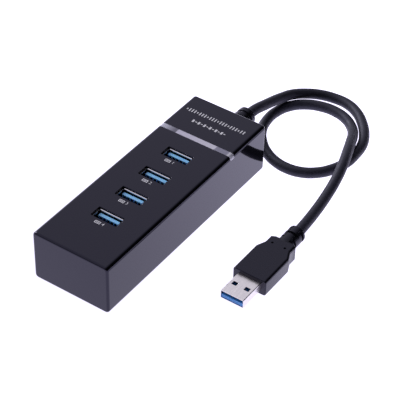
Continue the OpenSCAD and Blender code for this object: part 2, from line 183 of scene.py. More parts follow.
# %% Table
TABLE_TINT = (0.83, 0.8, 1.0)
TABLE_NEAR, TABLE_FAR = 1.02, 1.5   # strength of the weakest channel: over 1 is plain white
GLOW_FROM, GLOW_TO = cad_low.y + 0.01, 0.1
white_table = new_material("white_lit_table", {
    "Base Color": hexa("#3c3c3c"), "Roughness": 0.9, "Specular IOR Level": 0.0,
    "Emission Color": (*TABLE_TINT, 1.0)})
on_table = add(white_table, "ShaderNodeTexCoord")
axes = add(white_table, "ShaderNodeSeparateXYZ", {"Vector": on_table.outputs["Object"]})
glow = add(white_table, "ShaderNodeMapRange", {
    "Value": axes.outputs["Y"], "From Min": GLOW_FROM, "From Max": GLOW_TO,
    "To Min": TABLE_NEAR / min(TABLE_TINT), "To Max": TABLE_FAR / min(TABLE_TINT)},
    interpolation_type="SMOOTHSTEP")
table_shader = white_table.node_tree.nodes["Principled BSDF"]
white_table.node_tree.links.new(glow.outputs["Result"], table_shader.inputs["Emission Strength"])
bpy.ops.object.select_all(action="DESELECT")
bpy.ops.mesh.primitive_plane_add(size=12)
table = bpy.context.object
table.name = "table"
table.data.materials.append(white_table)
print("table glow:", TABLE_NEAR, "to", TABLE_FAR)

# %% [markdown]
# ### Side light
# One lamp is enough. It is a soft box to the left and a little behind, where no upright face and no
# rounded edge mirrors it. It models the lead and the plug, which are too dull to show the glow.

# %% Side light
LIGHT_AT = (-1.17, 0.32, 0.75)
bpy.ops.object.select_all(action="DESELECT")
bpy.ops.object.light_add(type="AREA", location=LIGHT_AT)
side_box = bpy.context.object
side_box.name = "side_box"
side_box.data.size = 0.7
side_box.data.energy = 16
side_box.rotation_mode = "QUATERNION"
side_box.rotation_quaternion = Vector(LIGHT_AT).to_track_quat("Z", "Y")
print("side light, W:", side_box.data.energy)

# %% [markdown]
# ### Surroundings
# The room is one big white card, out of focus: brightest in one direction, above and to the left,
# and almost dark from there to the right. Where nothing stands in front, the camera sees plain
# white, as it does on the table.

# %% Surroundings
CARD_TOWARDS = Vector((-0.76, 0.06, 0.64)).normalized()
CARD_DARK, CARD_BRIGHT = 0.01, 0.75
BACKDROP = 1.3
world = bpy.data.worlds.new("studio")
bpy.context.scene.world = world
world.use_nodes = True
place = add(world, "ShaderNodeTexCoord")
facing = add(world, "ShaderNodeVectorMath", {0: place.outputs["Generated"], 1: CARD_TOWARDS},
             operation="DOT_PRODUCT")
card = add(world, "ShaderNodeMapRange", {
    "Value": facing.outputs["Value"], "From Min": 0.15, "From Max": 0.85,
    "To Min": CARD_DARK, "To Max": CARD_BRIGHT}, interpolation_type="SMOOTHSTEP")
seen = add(world, "ShaderNodeLightPath")
level = add(world, "ShaderNodeMix", {
    0: seen.outputs["Is Camera Ray"], 2: card.outputs["Result"], 3: BACKDROP})
sky = world.node_tree.nodes["Background"]
world.node_tree.links.new(level.outputs[0], sky.inputs["Strength"])
sky.inputs["Color"].default_value = hexa("#f1efff")
print("card strength:", CARD_DARK, "to", CARD_BRIGHT)

# %% [markdown]
# ## Finishes
# Each finish starts from what the real surface is. A moulded or plated surface is never quite even,
# so one noise, at a grain worked out from millimetres, lets the colour, the roughness and the
# height of every finish drift a little. Patterns use Object coordinates, which are metres in the
# CAD frame, so a scale of 1 / size gives features of that size.

# %% A noise that varies a finish
def mottle(material, grain, colours, roughness, bump, stretch=(1, 1, 1)):
    """Varies a finish: grain and bump in mm, two colours, two roughnesses, stretch along axes."""
    shader = material.node_tree.nodes["Principled BSDF"]
    place = add(material, "ShaderNodeTexCoord")
    drawn = add(material, "ShaderNodeMapping", {
        "Vector": place.outputs["Object"], "Scale": stretch})
    noise = add(material, "ShaderNodeTexNoise", {
        "Vector": drawn.outputs["Vector"], "Scale": 1 / (grain * MM), "Detail": 3.0})
    tint = add(material, "ShaderNodeMix", {
        0: noise.outputs[0], 6: hexa(colours[0]), 7: hexa(colours[1])}, data_type="RGBA")
    rough = add(material, "ShaderNodeMapRange", {
        "Value": noise.outputs[0], "From Min": 0.3, "From Max": 0.7,
        "To Min": roughness[0], "To Max": roughness[1]})
    relief = add(material, "ShaderNodeBump", {
        "Height": noise.outputs[0], "Distance": bump * MM, "Strength": 1.0})
    links = material.node_tree.links
    links.new(tint.outputs[2], shader.inputs["Base Color"])
    links.new(rough.outputs["Result"], shader.inputs["Roughness"])
    links.new(relief.outputs["Normal"], shader.inputs["Normal"])
    return material


# %% [markdown]
# ### Black plastics
# The housing is ABS moulded in a mirror-polished tool: near-black, with a slight blue cast in its
# reflections and a very faint waviness, the orange peel of moulded gloss. The base plate is the
# same resin from a spark-eroded tool, which leaves a fine even grain. The lead, its relief and the
# plug's grip are soft PVC: satin, a little dusty, with a broad dull sheen.

# %% Black plastics
gloss_abs = mottle(new_material("polished_black_abs", {
    "IOR": 1.5, "Specular Tint": hexa("#dcd8ff")}),
    9, ("#07070a", "#09090d"), (0.05, 0.075), 0.004)
grained_abs = mottle(new_material("spark_eroded_black_abs", {"IOR": 1.54}),
    0.35, ("#141417", "#1c1c20"), (0.42, 0.55), 0.02)
jacket_pvc = mottle(new_material("extruded_black_pvc", {
    "IOR": 1.36, "Specular Tint": hexa("#dcdaff")}),
    1.2, ("#24242b", "#303039"), (0.45, 0.6), 0.03)
grip_pvc = mottle(new_material("moulded_black_pvc", {
    "IOR": 1.44, "Specular Tint": hexa("#dcd9ff")}),
    0.6, ("#0e0e12", "#15151a"), (0.2, 0.3), 0.015)
print("black plastics:", gloss_abs.name, grained_abs.name, jacket_pvc.name, grip_pvc.name)

# %% [markdown]
# ### Metals
# The sockets and the plug are nickel-plated steel strip. Rolling leaves fine streaks along the
# strip, which blur a reflection across them. Contacts are gold flashed, screws are zinc plated,
# and the chip's leads are tinned. A metal keeps the default IOR.

# %% Metals
port_steel = mottle(new_material("nickel_plated_socket_steel_painted_shade", {"Metallic": 1.0}),
    0.5, ("#d8d5d8", "#efecef"), (0.24, 0.36), 0.003, stretch=(1, 1, 0.12))
plug_steel = mottle(new_material("nickel_plated_plug_steel", {"Metallic": 1.0}),
    0.4, ("#e6e0e0", "#f6f1f1"), (0.3, 0.42), 0.003, stretch=(1, 0.1, 1))
gold = mottle(new_material("gold_flashed_bronze", {"Metallic": 1.0}),
    0.6, ("#c79a4a", "#e0bb6c"), (0.2, 0.34), 0.003)
zinc = mottle(new_material("zinc_plated_steel", {"Metallic": 1.0}),
    0.8, ("#a5a6ac", "#c3c4c9"), (0.28, 0.42), 0.006)
tin = mottle(new_material("tinned_copper", {"Metallic": 1.0}),
    0.4, ("#b9b9bd", "#d6d6d9"), (0.22, 0.4), 0.006)
drawn_can = mottle(new_material("drawn_aluminium", {"Metallic": 1.0}),
    0.5, ("#c6c7cc", "#dcdde1"), (0.25, 0.4), 0.004, stretch=(1, 1, 0.15))
print("finishes so far:", len(bpy.data.materials))

# %% [markdown]
# ### Moulded inserts, lamps and components
# The blue inserts are a tough satin resin that light enters a little, so their edges glow. The
# light bar is clear acrylic over a milky guide. Chips are matt epoxy, capacitors fired ceramic,
# wires extruded plastic, and the white marks are pad-printed ink.

# %% Moulded inserts, lamps and components
blue_resin = mottle(new_material("satin_blue_resin", {
    "IOR": 1.55, "Subsurface Weight": 0.15, "Subsurface Scale": 0.6 * MM,
    "Subsurface Radius": (0.2, 0.5, 1.0)}),
    1.5, ("#2c7fcb", "#3b94dc"), (0.25, 0.36), 0.006)
# The socket tongues take a paler copy of the blue resin above: the paleness is painted light on
# their tips.
painted_light_tongue_resin = mottle(new_material("blue_resin_painted_light_and_shade", {
    "IOR": 1.55, "Subsurface Weight": 0.2, "Subsurface Scale": 0.6 * MM,
    "Subsurface Radius": (0.2, 0.5, 1.0)}),
    1.5, ("#74b8ee", "#8ac9f5"), (0.25, 0.36), 0.006)
acrylic = mottle(new_material("polished_clear_acrylic_painted_light", {
    "IOR": 1.49, "Transmission Weight": 0.2}),
    3, ("#d3d2dd", "#e6e5f0"), (0.05, 0.1), 0.003)
milky = mottle(new_material("milky_light_guide", {
    "IOR": 1.5, "Subsurface Weight": 0.3, "Subsurface Scale": 1 * MM}),
    2, ("#e6e9ef", "#f4f6fa"), (0.35, 0.5), 0.005)
epoxy = mottle(new_material("moulded_chip_epoxy", {"IOR": 1.55}),
    0.15, ("#17171a", "#242428"), (0.5, 0.7), 0.01)
ceramic = mottle(new_material("fired_ceramic", {"IOR": 1.7}),
    0.3, ("#9a7a54", "#b8946a"), (0.4, 0.6), 0.01)
lamp_epoxy = mottle(new_material("clear_lamp_epoxy", {
    "IOR": 1.53, "Transmission Weight": 0.4}),
    0.5, ("#e6dfc4", "#f4efd8"), (0.1, 0.2), 0.004)
wire_plastic = mottle(new_material("extruded_wire_insulation", {"IOR": 1.5}),
    0.8, ("#8f2019", "#b4372c"), (0.35, 0.5), 0.006)
ink = mottle(new_material("pad_printed_ink", {"IOR": 1.5}),
    0.25, ("#c4c3ca", "#dddce4"), (0.5, 0.7), 0.004)
print("finishes so far:", len(bpy.data.materials))

# %% [markdown]
# ### Painted light and shade along a piece
# Three finishes get painted light and shade along one axis. The bar is frosted over its light
# guide, and its near-white there also paints the guide's light showing through. Beside the guide
# it is greyer, and where it bends over the edges it is painted white, a painted glow of light let
# out there. Down a socket the steel strip is darkened, a painted shade, and the resin is darkened
# too, while the mouth and the tongue's tip are left bright. A colour ramp along one axis,
# multiplied into the finish, paints this in a line for each.

# %% Painted light and shade of the bar and the sockets
def paint_light_and_shade(material, axis, stops):
    """Paints light and shade into a finish along an Object axis: stops are (place in mm, colour),
    blended in between.
    """
    shader = material.node_tree.nodes["Principled BSDF"]
    under = shader.inputs["Base Color"].links[0].from_socket
    place = add(material, "ShaderNodeTexCoord")
    parts = add(material, "ShaderNodeSeparateXYZ", {"Vector": place.outputs["Object"]})
    first, last = stops[0][0], stops[-1][0]
    along_axis = add(material, "ShaderNodeMapRange", {
        "Value": parts.outputs[axis], "From Min": first * MM, "From Max": last * MM})
    ramp = add(material, "ShaderNodeValToRGB", {"Fac": along_axis.outputs["Result"]})
    steps = ramp.color_ramp.elements
    while len(steps) < len(stops):
        steps.new(0.5)
    for step, (at, colour) in zip(steps, stops):
        step.position = (at - first) / (last - first)
        step.color = hexa(colour)
    painted_light_mix = add(material, "ShaderNodeMix", {0: 1.0, 6: under, 7: ramp.outputs["Color"]},
                 data_type="RGBA", blend_type="MULTIPLY")
    material.node_tree.links.new(painted_light_mix.outputs[2], shader.inputs["Base Color"])


# Painted light: the bar is left white at both bent ends, a painted glow of light let out there, and
# near-white over the guide, frosted there and partly painting the guide's light showing through;
# between them it is greyer.
paint_light_and_shade(acrylic, "X", [
    (-20.5, "#ffffff"), (-18.5, "#f0f0fa"), (-12, "#84828f"), (-10.8, "#84828f"),
    (-10.4, "#f4f0fc"), (10.8, "#fcf9ff"), (11.2, "#a9a7b6"), (17.6, "#a9a7b6"),
    (18.6, "#ffffff"), (20.5, "#ffffff")])
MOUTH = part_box("port_1_shell")[1].z / MM
SOCKET_FLOOR = 9
# Painted shade: the socket steel is darkened down the socket, below its mouth, where shade falls.
paint_light_and_shade(port_steel, "Z", [
    (SOCKET_FLOOR, "#34353d"), (MOUTH - 0.5, "#34353d"), (MOUTH - 0.36, "#ffffff"),
    (MOUTH, "#ffffff")])
# Painted shade: the tongue's resin is darkened down the socket, from just below its pockets to the
# floor.
paint_light_and_shade(painted_light_tongue_resin, "Z", [
    (SOCKET_FLOOR, "#2a5c94"), (MOUTH - 2.6, "#3f77b0"), (MOUTH - 2, "#c0dcff"),
    (MOUTH - 1.15, "#ffffff"), (MOUTH, "#ffffff")])
print("sockets' mouth, mm above the table:", round(MOUTH, 2))

# %% [markdown]
# ### Circuit board
# The board is glass fibre under green solder mask. Copper tracks under the mask show as slightly
# lighter bands; a brick pattern with long bricks gives them, at a pitch of about a millimetre.
# The weave of the glass is finer and only shows as a bump.

# %% Circuit board
solder_mask = mottle(new_material("green_solder_mask", {"IOR": 1.55, "Coat Weight": 0.3}),
    0.5, ("#0f4f2b", "#176238"), (0.25, 0.4), 0.01)
board_shader = solder_mask.node_tree.nodes["Principled BSDF"]
board_place = add(solder_mask, "ShaderNodeTexCoord")
tracks = add(solder_mask, "ShaderNodeTexBrick", {
    "Vector": board_place.outputs["Object"], "Color1": hexa("#1f7a45"), "Color2": hexa("#135a31"),
    "Mortar": hexa("#0c4525"), "Scale": 1 / (2 * MM), "Mortar Size": 0.12,
    "Brick Width": 6.0, "Row Height": 0.5})
solder_mask.node_tree.links.new(tracks.outputs["Color"], board_shader.inputs["Base Color"])
print("finishes:", len(bpy.data.materials))

# %% [markdown]
# ## Modelling by hand, in code
# The next helpers are the moves of a modeller's hand. The first ones make one object the only one
# selected, add a block at its size and place, and select some of its edges or faces by where they
# are. An operator acts on all that is selected, so each helper starts clean.

# %% Adding and selecting
NEAR = 1e-6


def solo(piece):
    """Makes a piece the only selected and the active object, in object mode."""
    if bpy.context.mode != "OBJECT":
        bpy.ops.object.mode_set(mode="OBJECT")
    bpy.ops.object.select_all(action="DESELECT")
    piece.select_set(True)
    bpy.context.view_layer.objects.active = piece


def settle(piece, name):
    """Names a new object and moves its place into its mesh."""
    solo(piece)
    bpy.ops.object.transform_apply(location=True, rotation=True, scale=True)
    piece.name = name
    piece.data.name = name
    return piece


def block(name, low, high):
    """Adds a cube that fills the box from low to high."""
    low, high = Vector(low), Vector(high)
    bpy.ops.object.select_all(action="DESELECT")
    bpy.ops.mesh.primitive_cube_add(size=1, location=(low + high) / 2, scale=high - low)
    return settle(bpy.context.object, name)


def pick(piece, kind, test):
    """Selects, in edit mode, the edges or faces whose middle and direction pass a test."""
    solo(piece)
    bpy.ops.object.mode_set(mode="EDIT")
    bpy.ops.mesh.select_mode(type=kind)
    bpy.ops.mesh.select_all(action="DESELECT")
    mesh = bmesh.from_edit_mesh(piece.data)
    if kind == "EDGE":
        for edge in mesh.edges:
            a, b = (v.co for v in edge.verts)
            edge.select_set(bool(test((a + b) / 2, (b - a).normalized())))
    else:
        for face in mesh.faces:
            face.select_set(bool(test(face.calc_center_median(), face.normal)))
    bmesh.update_edit_mesh(piece.data)


def along(direction, axis):
    """Whether a direction runs along an axis, 0, 1 or 2."""
    return abs(direction[axis]) > 0.99


# %% [markdown]
# The next ones shape a piece: round its edges, extrude what is selected, apply a modifier, and cut
# or join pieces with a boolean. A real tool or mould leaves no sharp edge, so softening comes last.

# %% Shaping
def round_edges(piece, test, radius, segments=6):
    """Rounds the edges that pass a test."""
    pick(piece, "EDGE", test)
    bpy.ops.mesh.bevel(offset=radius, segments=segments, affect="EDGES", clamp_overlap=True)
    bpy.ops.object.mode_set(mode="OBJECT")


def pull(move, scale=(1, 1, 1), centre=None):
    """Extrudes the selection by a move, then scales it about a centre."""
    bpy.ops.mesh.extrude_region_move(TRANSFORM_OT_translate={"value": move})
    if centre is not None:
        bpy.ops.transform.resize(value=scale, center_override=centre)


def modify(piece, kind, **settings):
    """Gives a piece a modifier with these settings and applies it."""
    solo(piece)
    modifier = piece.modifiers.new(kind.lower(), kind)
    for name, value in settings.items():
        setattr(modifier, name, value)
    bpy.ops.object.modifier_apply(modifier=modifier.name)


def combine(piece, *tools, operation="DIFFERENCE"):
    """Cuts a piece with others, or unites it with them; the tools are used up."""
    for tool in tools:
        modify(piece, "BOOLEAN", operation=operation, object=tool, solver="EXACT")
        bpy.data.objects.remove(tool)


def soften(piece, width, segments=2):
    """Breaks every sharp edge, as a real tool or mould does."""
    modify(piece, "BEVEL", width=width, segments=segments, limit_method="ANGLE",
           angle_limit=radians(35), use_clamp_overlap=True)


# %% [markdown]
# The last one finishes a piece. Weighted normals keep large flat faces flat beside a small bevel.
# Each piece also rides on a body, and the CAD nodes it stands for are hidden.

# %% Finishing
def dress(piece, material, slot, *nodes):
    """Finishes a piece: shading, material, the body it rides on, the nodes it stands for; slot is
    not used.
    """
    solo(piece)
    bpy.ops.object.shade_smooth_by_angle(angle=radians(32))
    modify(piece, "WEIGHTED_NORMAL", keep_sharp=True)
    piece.data.materials.clear()
    piece.data.materials.append(material)
    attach(piece, "root")
    if nodes:
        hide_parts(*nodes)
    print(piece.name, "faces:", len(piece.data.polygons))
    return piece


# %% [markdown]
# ## Housing
# The real cover is one deep moulding. It starts here as a block. The long top and bottom edges
# have a radius of 2 mm, and both ends are rounded a little less.

# %% Housing block
WALL = 2.2 * MM
TOP_R = 2 * MM
BOTTOM_R = 2 * MM
END_R = 1.2 * MM
low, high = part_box("top_cover")
housing = block("housing", low, high)
round_edges(housing, lambda at, way: along(way, 1) and at.z > high.z - NEAR, TOP_R, 10)
round_edges(housing, lambda at, way: along(way, 1) and at.z < low.z + NEAR, BOTTOM_R, 12)
round_edges(housing, lambda at, way: abs(at.y) > high.y - NEAR and not along(way, 1), END_R, 6)
print("housing, mm:", [round(v / MM, 1) for v in high - low])

# %% [markdown]
# The block is hollowed from below with a second block, which leaves a wall of even thickness. Four
# round bosses with a screw hole hang from its ceiling and carry the board.

# %% Hollow and bosses
BOSS_R = 2.6 * MM
BOSS_HOLE_R = 0.85 * MM
BOSS_HOLE_DEEP = 7 * MM
BOARD_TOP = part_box("circuit_board")[1].z
ceiling = high.z - WALL
combine(housing, block("hollow", (low.x + WALL, low.y + WALL, -5 * MM),
                       (high.x - WALL, high.y - WALL, ceiling)))


def rod(name, start, end, radius, sides=48):
    """A cylinder from start to end."""
    start, end = Vector(start), Vector(end)
    bpy.ops.object.select_all(action="DESELECT")
    bpy.ops.mesh.primitive_cylinder_add(
        vertices=sides, radius=radius, depth=(end - start).length, location=(start + end) / 2,
        rotation=(end - start).to_track_quat("Z", "Y").to_euler())
    return settle(bpy.context.object, name)


screws_low, screws_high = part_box("board_screws")
SCREW_HEAD_R = 2.2 * MM
for x in (screws_low.x + SCREW_HEAD_R, screws_high.x - SCREW_HEAD_R):
    for y in (screws_low.y + SCREW_HEAD_R, screws_high.y - SCREW_HEAD_R):
        combine(housing, rod("boss", (x, y, BOARD_TOP), (x, y, ceiling + 0.5 * MM), BOSS_R),
                operation="UNION")
        combine(housing, rod("hole", (x, y, BOARD_TOP - MM), (x, y, BOARD_TOP + BOSS_HOLE_DEEP),
                             BOSS_HOLE_R, 24))
print("ceiling, mm:", round(ceiling / MM, 2))

# %% [markdown]
# Then the openings are cut: four sockets, the channel of the light bar and the hole of the strain
# relief. Each socket's cutter widens at the top, which leaves the fine chamfer round a moulded
# opening.

# %% Openings
CUTOUT = (13.9 * MM, 6.5 * MM)
CUTOUT_R = 0.6 * MM
CHAMFER = 0.18 * MM
PORTS = [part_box(f"port_{i}_shell") for i in (1, 2, 3, 4)]
PORT_YS = [(a.y + b.y) / 2 for a, b in PORTS]


def opening(y):
    """Cutter for one socket's opening, wider by the chamfer at the very top."""
    half = Vector((CUTOUT[0] / 2, CUTOUT[1] / 2, 0))
    top = high.z - CHAMFER
    cutter = block("opening", Vector((0, y, ceiling - MM)) - half, Vector((0, y, top)) + half)
    round_edges(cutter, lambda at, way: along(way, 2), CUTOUT_R, 5)
    pick(cutter, "FACE", lambda at, normal: normal.z > 0.9)
    grow = (1 + 2 * CHAMFER / CUTOUT[0], 1 + 2 * CHAMFER / CUTOUT[1], 1)
    pull((0, 0, CHAMFER), grow, (0, y, top))
    pull((0, 0, MM))
    bpy.ops.object.mode_set(mode="OBJECT")
    return cutter


combine(housing, *[opening(y) for y in PORT_YS])
bar_low, bar_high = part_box("light_bar")
BAR_Y = (bar_low.y + bar_high.y) / 2
BAR_W = 3 * MM
combine(housing, block("channel", (low.x - MM, BAR_Y - BAR_W / 2, ceiling),
                       (high.x + MM, BAR_Y + BAR_W / 2, high.z + MM)))
LEAD_Z = (high.z + low.z) / 2
NECK_R = 4.6 * MM
combine(housing, rod("neck_hole", (0, high.y - WALL - MM, LEAD_Z), (0, high.y + MM, LEAD_Z),
                     NECK_R))
dress(housing, gloss_abs, "housing_abs", "top_cover")

# %% [markdown]
# ## Light bar
# A clear bar fills the channel flush and wraps over both long edges, with a flange below that keeps
# it from lifting out. It is a block with the housing's own top radius, united with its flange.

# %% Light bar
FIT = 0.025 * MM
FLANGE = (34 * MM, 6 * MM, 1.2 * MM)
bar = block("light_bar_lens", (low.x, BAR_Y - BAR_W / 2 + FIT, ceiling),
            (high.x, BAR_Y + BAR_W / 2 - FIT, high.z))
round_edges(bar, lambda at, way: along(way, 1) and at.z > high.z - NEAR, TOP_R, 10)
flange = block("flange", (-FLANGE[0] / 2, BAR_Y - FLANGE[1] / 2, ceiling - FLANGE[2]),
               (FLANGE[0] / 2, BAR_Y + FLANGE[1] / 2, ceiling + NEAR))
combine(bar, flange, operation="UNION")
dress(bar, acrylic, "clear_acrylic", "light_bar")

# %% [markdown]
# ## Sockets
# A socket's shell is folded from steel strip: a tall box tube with four small lips that flare
# outwards at the mouth, so that a plug finds its way in. The tube is a block without its end faces.
# Each lip is pulled from one side's top edge in three short steps that lean further and further
# out, and Solidify then gives the strip its thickness. The lips' inner edges are lowered last,
# which slants their tops inwards, so that they catch the light. One shell is modelled, then copied.

# %% Socket shell
STRIP = 0.35 * MM
SHELL = (13.2 * MM, 5.82 * MM)
SHELL_R = 0.45 * MM
LIP_H = 0.8 * MM
LIP_STEPS = [(0.02, 0.34), (0.04, 0.28), (0.06, 0.18)]
FINGER_X, FINGER_W = 3 * MM, 1.8 * MM
FINGER_TOP, FINGER_ROOT = 4 * MM, 10.5 * MM
SLIT_SIDE, SLIT_TOP = 0.4 * MM, 0.5 * MM
LEG_W = 2.6 * MM
mouth_z = PORTS[0][1].z


def flare_lips(tube, y, top):
    """Pulls a lip outwards and upwards from each side's top edge."""
    for axis, side in ((0, 1), (0, -1), (1, 1), (1, -1)):
        edge_at = side * SHELL[axis] / 2 + (y if axis == 1 else 0)
        pick(tube, "EDGE", lambda at, way: at.z > top - NEAR and abs(at[axis] - edge_at) < NEAR)
        for out, up in LIP_STEPS:
            move = [0, 0, up * MM]
            move[axis] = side * out * MM
            pull(move)
    bpy.ops.object.mode_set(mode="OBJECT")


def slant_lips(tube, y):
    """Lowers the lips' inner edges by the strip's thickness."""
    inside = (SHELL[0] / 2 - STRIP / 2, SHELL[1] / 2 - STRIP / 2)
    pick(tube, "EDGE", lambda at, way: (
        at.z > mouth_z - NEAR and (along(way, 0) or along(way, 1))
        and abs(at.x) < inside[0] and abs(at.y - y) < inside[1]))
    bpy.ops.transform.translate(value=(0, 0, -STRIP))
    bpy.ops.object.mode_set(mode="OBJECT")


def socket_shell(y):
    """One folded shell: tube, lips, spring fingers and legs."""
    half = Vector((SHELL[0] / 2, SHELL[1] / 2, 0))
    top = mouth_z - LIP_H
    tube = block("socket_1_shell", Vector((0, y, BOARD_TOP)) - half, Vector((0, y, top)) + half)
    round_edges(tube, lambda at, way: along(way, 2), SHELL_R, 4)
    pick(tube, "FACE", lambda at, normal: abs(normal.z) > 0.9)
    bpy.ops.mesh.delete(type="ONLY_FACE")
    flare_lips(tube, y, top)
    modify(tube, "SOLIDIFY", thickness=STRIP, offset=-1, use_even_offset=True)
    slant_lips(tube, y)
    wide = FINGER_W / 2 + SLIT_SIDE
    for x in (-FINGER_X, FINGER_X):
        cutter = block("finger_slot", (x - wide, y - 5 * MM, mouth_z - FINGER_ROOT),
                       (x + wide, y + 5 * MM, mouth_z - FINGER_TOP + SLIT_TOP))
        finger = block("finger", (x - FINGER_W / 2, y - 6 * MM, mouth_z - FINGER_ROOT - 0.1 * MM),
                       (x + FINGER_W / 2, y + 6 * MM, mouth_z - FINGER_TOP))
        combine(cutter, finger)
        combine(tube, cutter)
    for side in (-1, 1):
        x = side * (SHELL[0] - STRIP) / 2
        leg = block("leg", (x - STRIP / 2, y - LEG_W / 2, PORTS[0][0].z),
                    (x + STRIP / 2, y + LEG_W / 2, BOARD_TOP + 0.5 * MM))
        combine(tube, leg, operation="UNION")
    return tube


def in_each_socket(first, name):
    """A piece made for the first socket, and a copy with its own mesh for each other one."""
    pieces = [first]
    for i in (1, 2, 3):
        piece = first.copy()
        piece.data = first.data.copy()
        bpy.context.scene.collection.objects.link(piece)
        piece.name = piece.data.name = f"socket_{i + 1}_{name}"
        piece.data.transform(Matrix.Translation((0, PORT_YS[i] - PORT_YS[0], 0)))
        pieces.append(piece)
    return pieces


for i, shell in enumerate(in_each_socket(socket_shell(PORT_YS[0]), "shell")):
    dress(shell, port_steel, "plated_steel", f"port_{i + 1}_shell")

# %% [markdown]
# ## Blue inserts
# Inside each shell stands the blue insert: a base, and a flat tongue that carries the contacts on
# its near face. Five pockets just below the tip hold the short contacts, and four grooves further
# down hold the long ones. The tongue is a block with its tip rounded; pockets and grooves are cut.

# %% Socket insert
TONGUE = (11.1 * MM, 1.84 * MM)
TONGUE_NEAR = 0.05 * MM
TONGUE_R = 0.22 * MM
TIP_DROP = 1 * MM
BASE_H = 5 * MM
NOTCH = (1.2 * MM, 2.4 * MM)
NOTCH_DEEP, NOTCH_LID = 0.9 * MM, 0.4 * MM
GROOVE_W, GROOVE_DEEP, GROOVE_DROP = 0.9 * MM, 0.35 * MM, 1.2 * MM
SHORT_XS = [-4, -2, 0, 2, 4]
LONG_XS = [-3.5, -1, 1, 3.5]


def socket_insert(y):
    """One insert: base, tongue, notches and grooves."""
    tip = mouth_z - TIP_DROP
    face = y + TONGUE_NEAR
    tongue = block("socket_1_insert", (-TONGUE[0] / 2, face, BOARD_TOP + BASE_H - MM),
                   (TONGUE[0] / 2, face + TONGUE[1], tip))
    round_edges(tongue, lambda at, way: at.z > tip - NEAR or along(way, 2), TONGUE_R, 3)
    fit = STRIP + 0.05 * MM
    inside = Vector((SHELL[0] / 2 - fit, SHELL[1] / 2 - fit, 0))
    base = block("base", Vector((0, y, BOARD_TOP + 0.02 * MM)) - inside,
                 Vector((0, y, BOARD_TOP + BASE_H)) + inside)
    combine(tongue, base, operation="UNION")
    for x in SHORT_XS:
        combine(tongue, block("notch", (x * MM - NOTCH[0] / 2, face - MM, tip - NOTCH[1]),
                              (x * MM + NOTCH[0] / 2, face + NOTCH_DEEP, tip - NOTCH_LID)))
    for x in LONG_XS:
        combine(tongue, block("groove", (x * MM - GROOVE_W / 2, face - 0.05 * MM, BOARD_TOP - MM),
                              (x * MM + GROOVE_W / 2, face + GROOVE_DEEP,
                               tip - NOTCH[1] - GROOVE_DROP)))
    return tongue


for i, insert in enumerate(in_each_socket(socket_insert(PORT_YS[0]), "insert")):
    dress(insert, painted_light_tongue_resin, "blue_insert", f"port_{i + 1}_insert")

# %% [markdown]
# ## Strain relief
# A turned shape: the rim of a disc is pulled along the lead's axis and scaled from one radius to
# the next, as on a lathe. Three ribs with grooves between them let the relief bend, and a bevel
# rounds every rib, because a soft moulding has no sharp edge.

# %% A lathe along Y
def turned(name, at, stations, sides=64):
    """Turns a piece along Y from a list of (distance, radius), in metres, measured from a point."""
    distance, radius = stations[0]
    x, y, z = at
    bpy.ops.object.select_all(action="DESELECT")
    bpy.ops.mesh.primitive_circle_add(vertices=sides, radius=radius, fill_type="NGON",
                                      location=(x, y + distance, z), rotation=(pi / 2, 0, 0))
    piece = settle(bpy.context.object, name)
    bpy.ops.object.mode_set(mode="EDIT")
    bpy.ops.mesh.select_mode(type="FACE")
    bpy.ops.mesh.select_all(action="SELECT")
    for next_distance, next_radius in stations[1:]:
        grow = next_radius / radius
        pull((0, next_distance - distance, 0), (grow, 1, grow), (x, y + next_distance, z))
        distance, radius = next_distance, next_radius
    bpy.ops.mesh.select_all(action="SELECT")
    bpy.ops.mesh.remove_doubles(threshold=NEAR)
    bpy.ops.mesh.normals_make_consistent(inside=False)
    bpy.ops.object.mode_set(mode="OBJECT")
    return piece


# %% Strain relief
RELIEF_LEN = 17
RIB_W, RIB_PITCH, RIB_R = 2.6, 4, 5
CORE_R = 3.9
FIRST_RIB = RELIEF_LEN - 1.4 - 2 * RIB_PITCH - RIB_W
# A flange inside the wall, a neck in its hole, a collar outside, and then the ribs.
stations = [(-4, 2.6), (-4, 6.2), (-2.3, 6.2), (-2.3, 4.55),
            (0.02, 4.55), (0.02, 5), (3.6, 5), (FIRST_RIB - 0.9, CORE_R)]
for k in range(3):
    start = FIRST_RIB + k * RIB_PITCH
    rib_r = RIB_R - 0.1 * k
    stations += [(start, CORE_R), (start, rib_r), (start + RIB_W, rib_r), (start + RIB_W, CORE_R)]
stations += [(RELIEF_LEN, 2.95), (RELIEF_LEN, 2.65)]
relief = turned("lead_strain_relief", (0, high.y, LEAD_Z), [(d * MM, r * MM) for d, r in stations])
soften(relief, 0.3 * MM, 3)
dress(relief, grip_pvc, "relief_pvc", "hub_strain_relief")

# %% [markdown]
# ## Plug
# The grip is moulded over the plug and the cable in one shot: a flat box that tapers to a narrower
# block, then to a round tail. The box is a block whose rear face is pulled back three times and
# scaled twice, and its long edges are rounded.

# %% Plug grip
grip_low, grip_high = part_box("plug_grip")
GRIP_W = (grip_high.x - grip_low.x) / MM
GRIP_T = (grip_high.z - grip_low.z) / MM
GRIP_R, NOSE_R = 1.3 * MM, 0.5 * MM
PLUG_X = (grip_low.x + grip_high.x) / 2
PLUG_Z = (grip_low.z + grip_high.z) / 2
PLUG_Y = grip_low.y
BLOCK_W = 13.4
GRIP_L, TAPER_L, BLOCK_L = 18.3, 4.5, 5.5
SHOULDER_L, SHOULDER = 1.2, (0.82, 1, 0.9)


def plug_point(x, y, z):
    """A place measured in mm from the middle of the grip's front face."""
    return Vector((PLUG_X + x * MM, PLUG_Y + y * MM, PLUG_Z + z * MM))


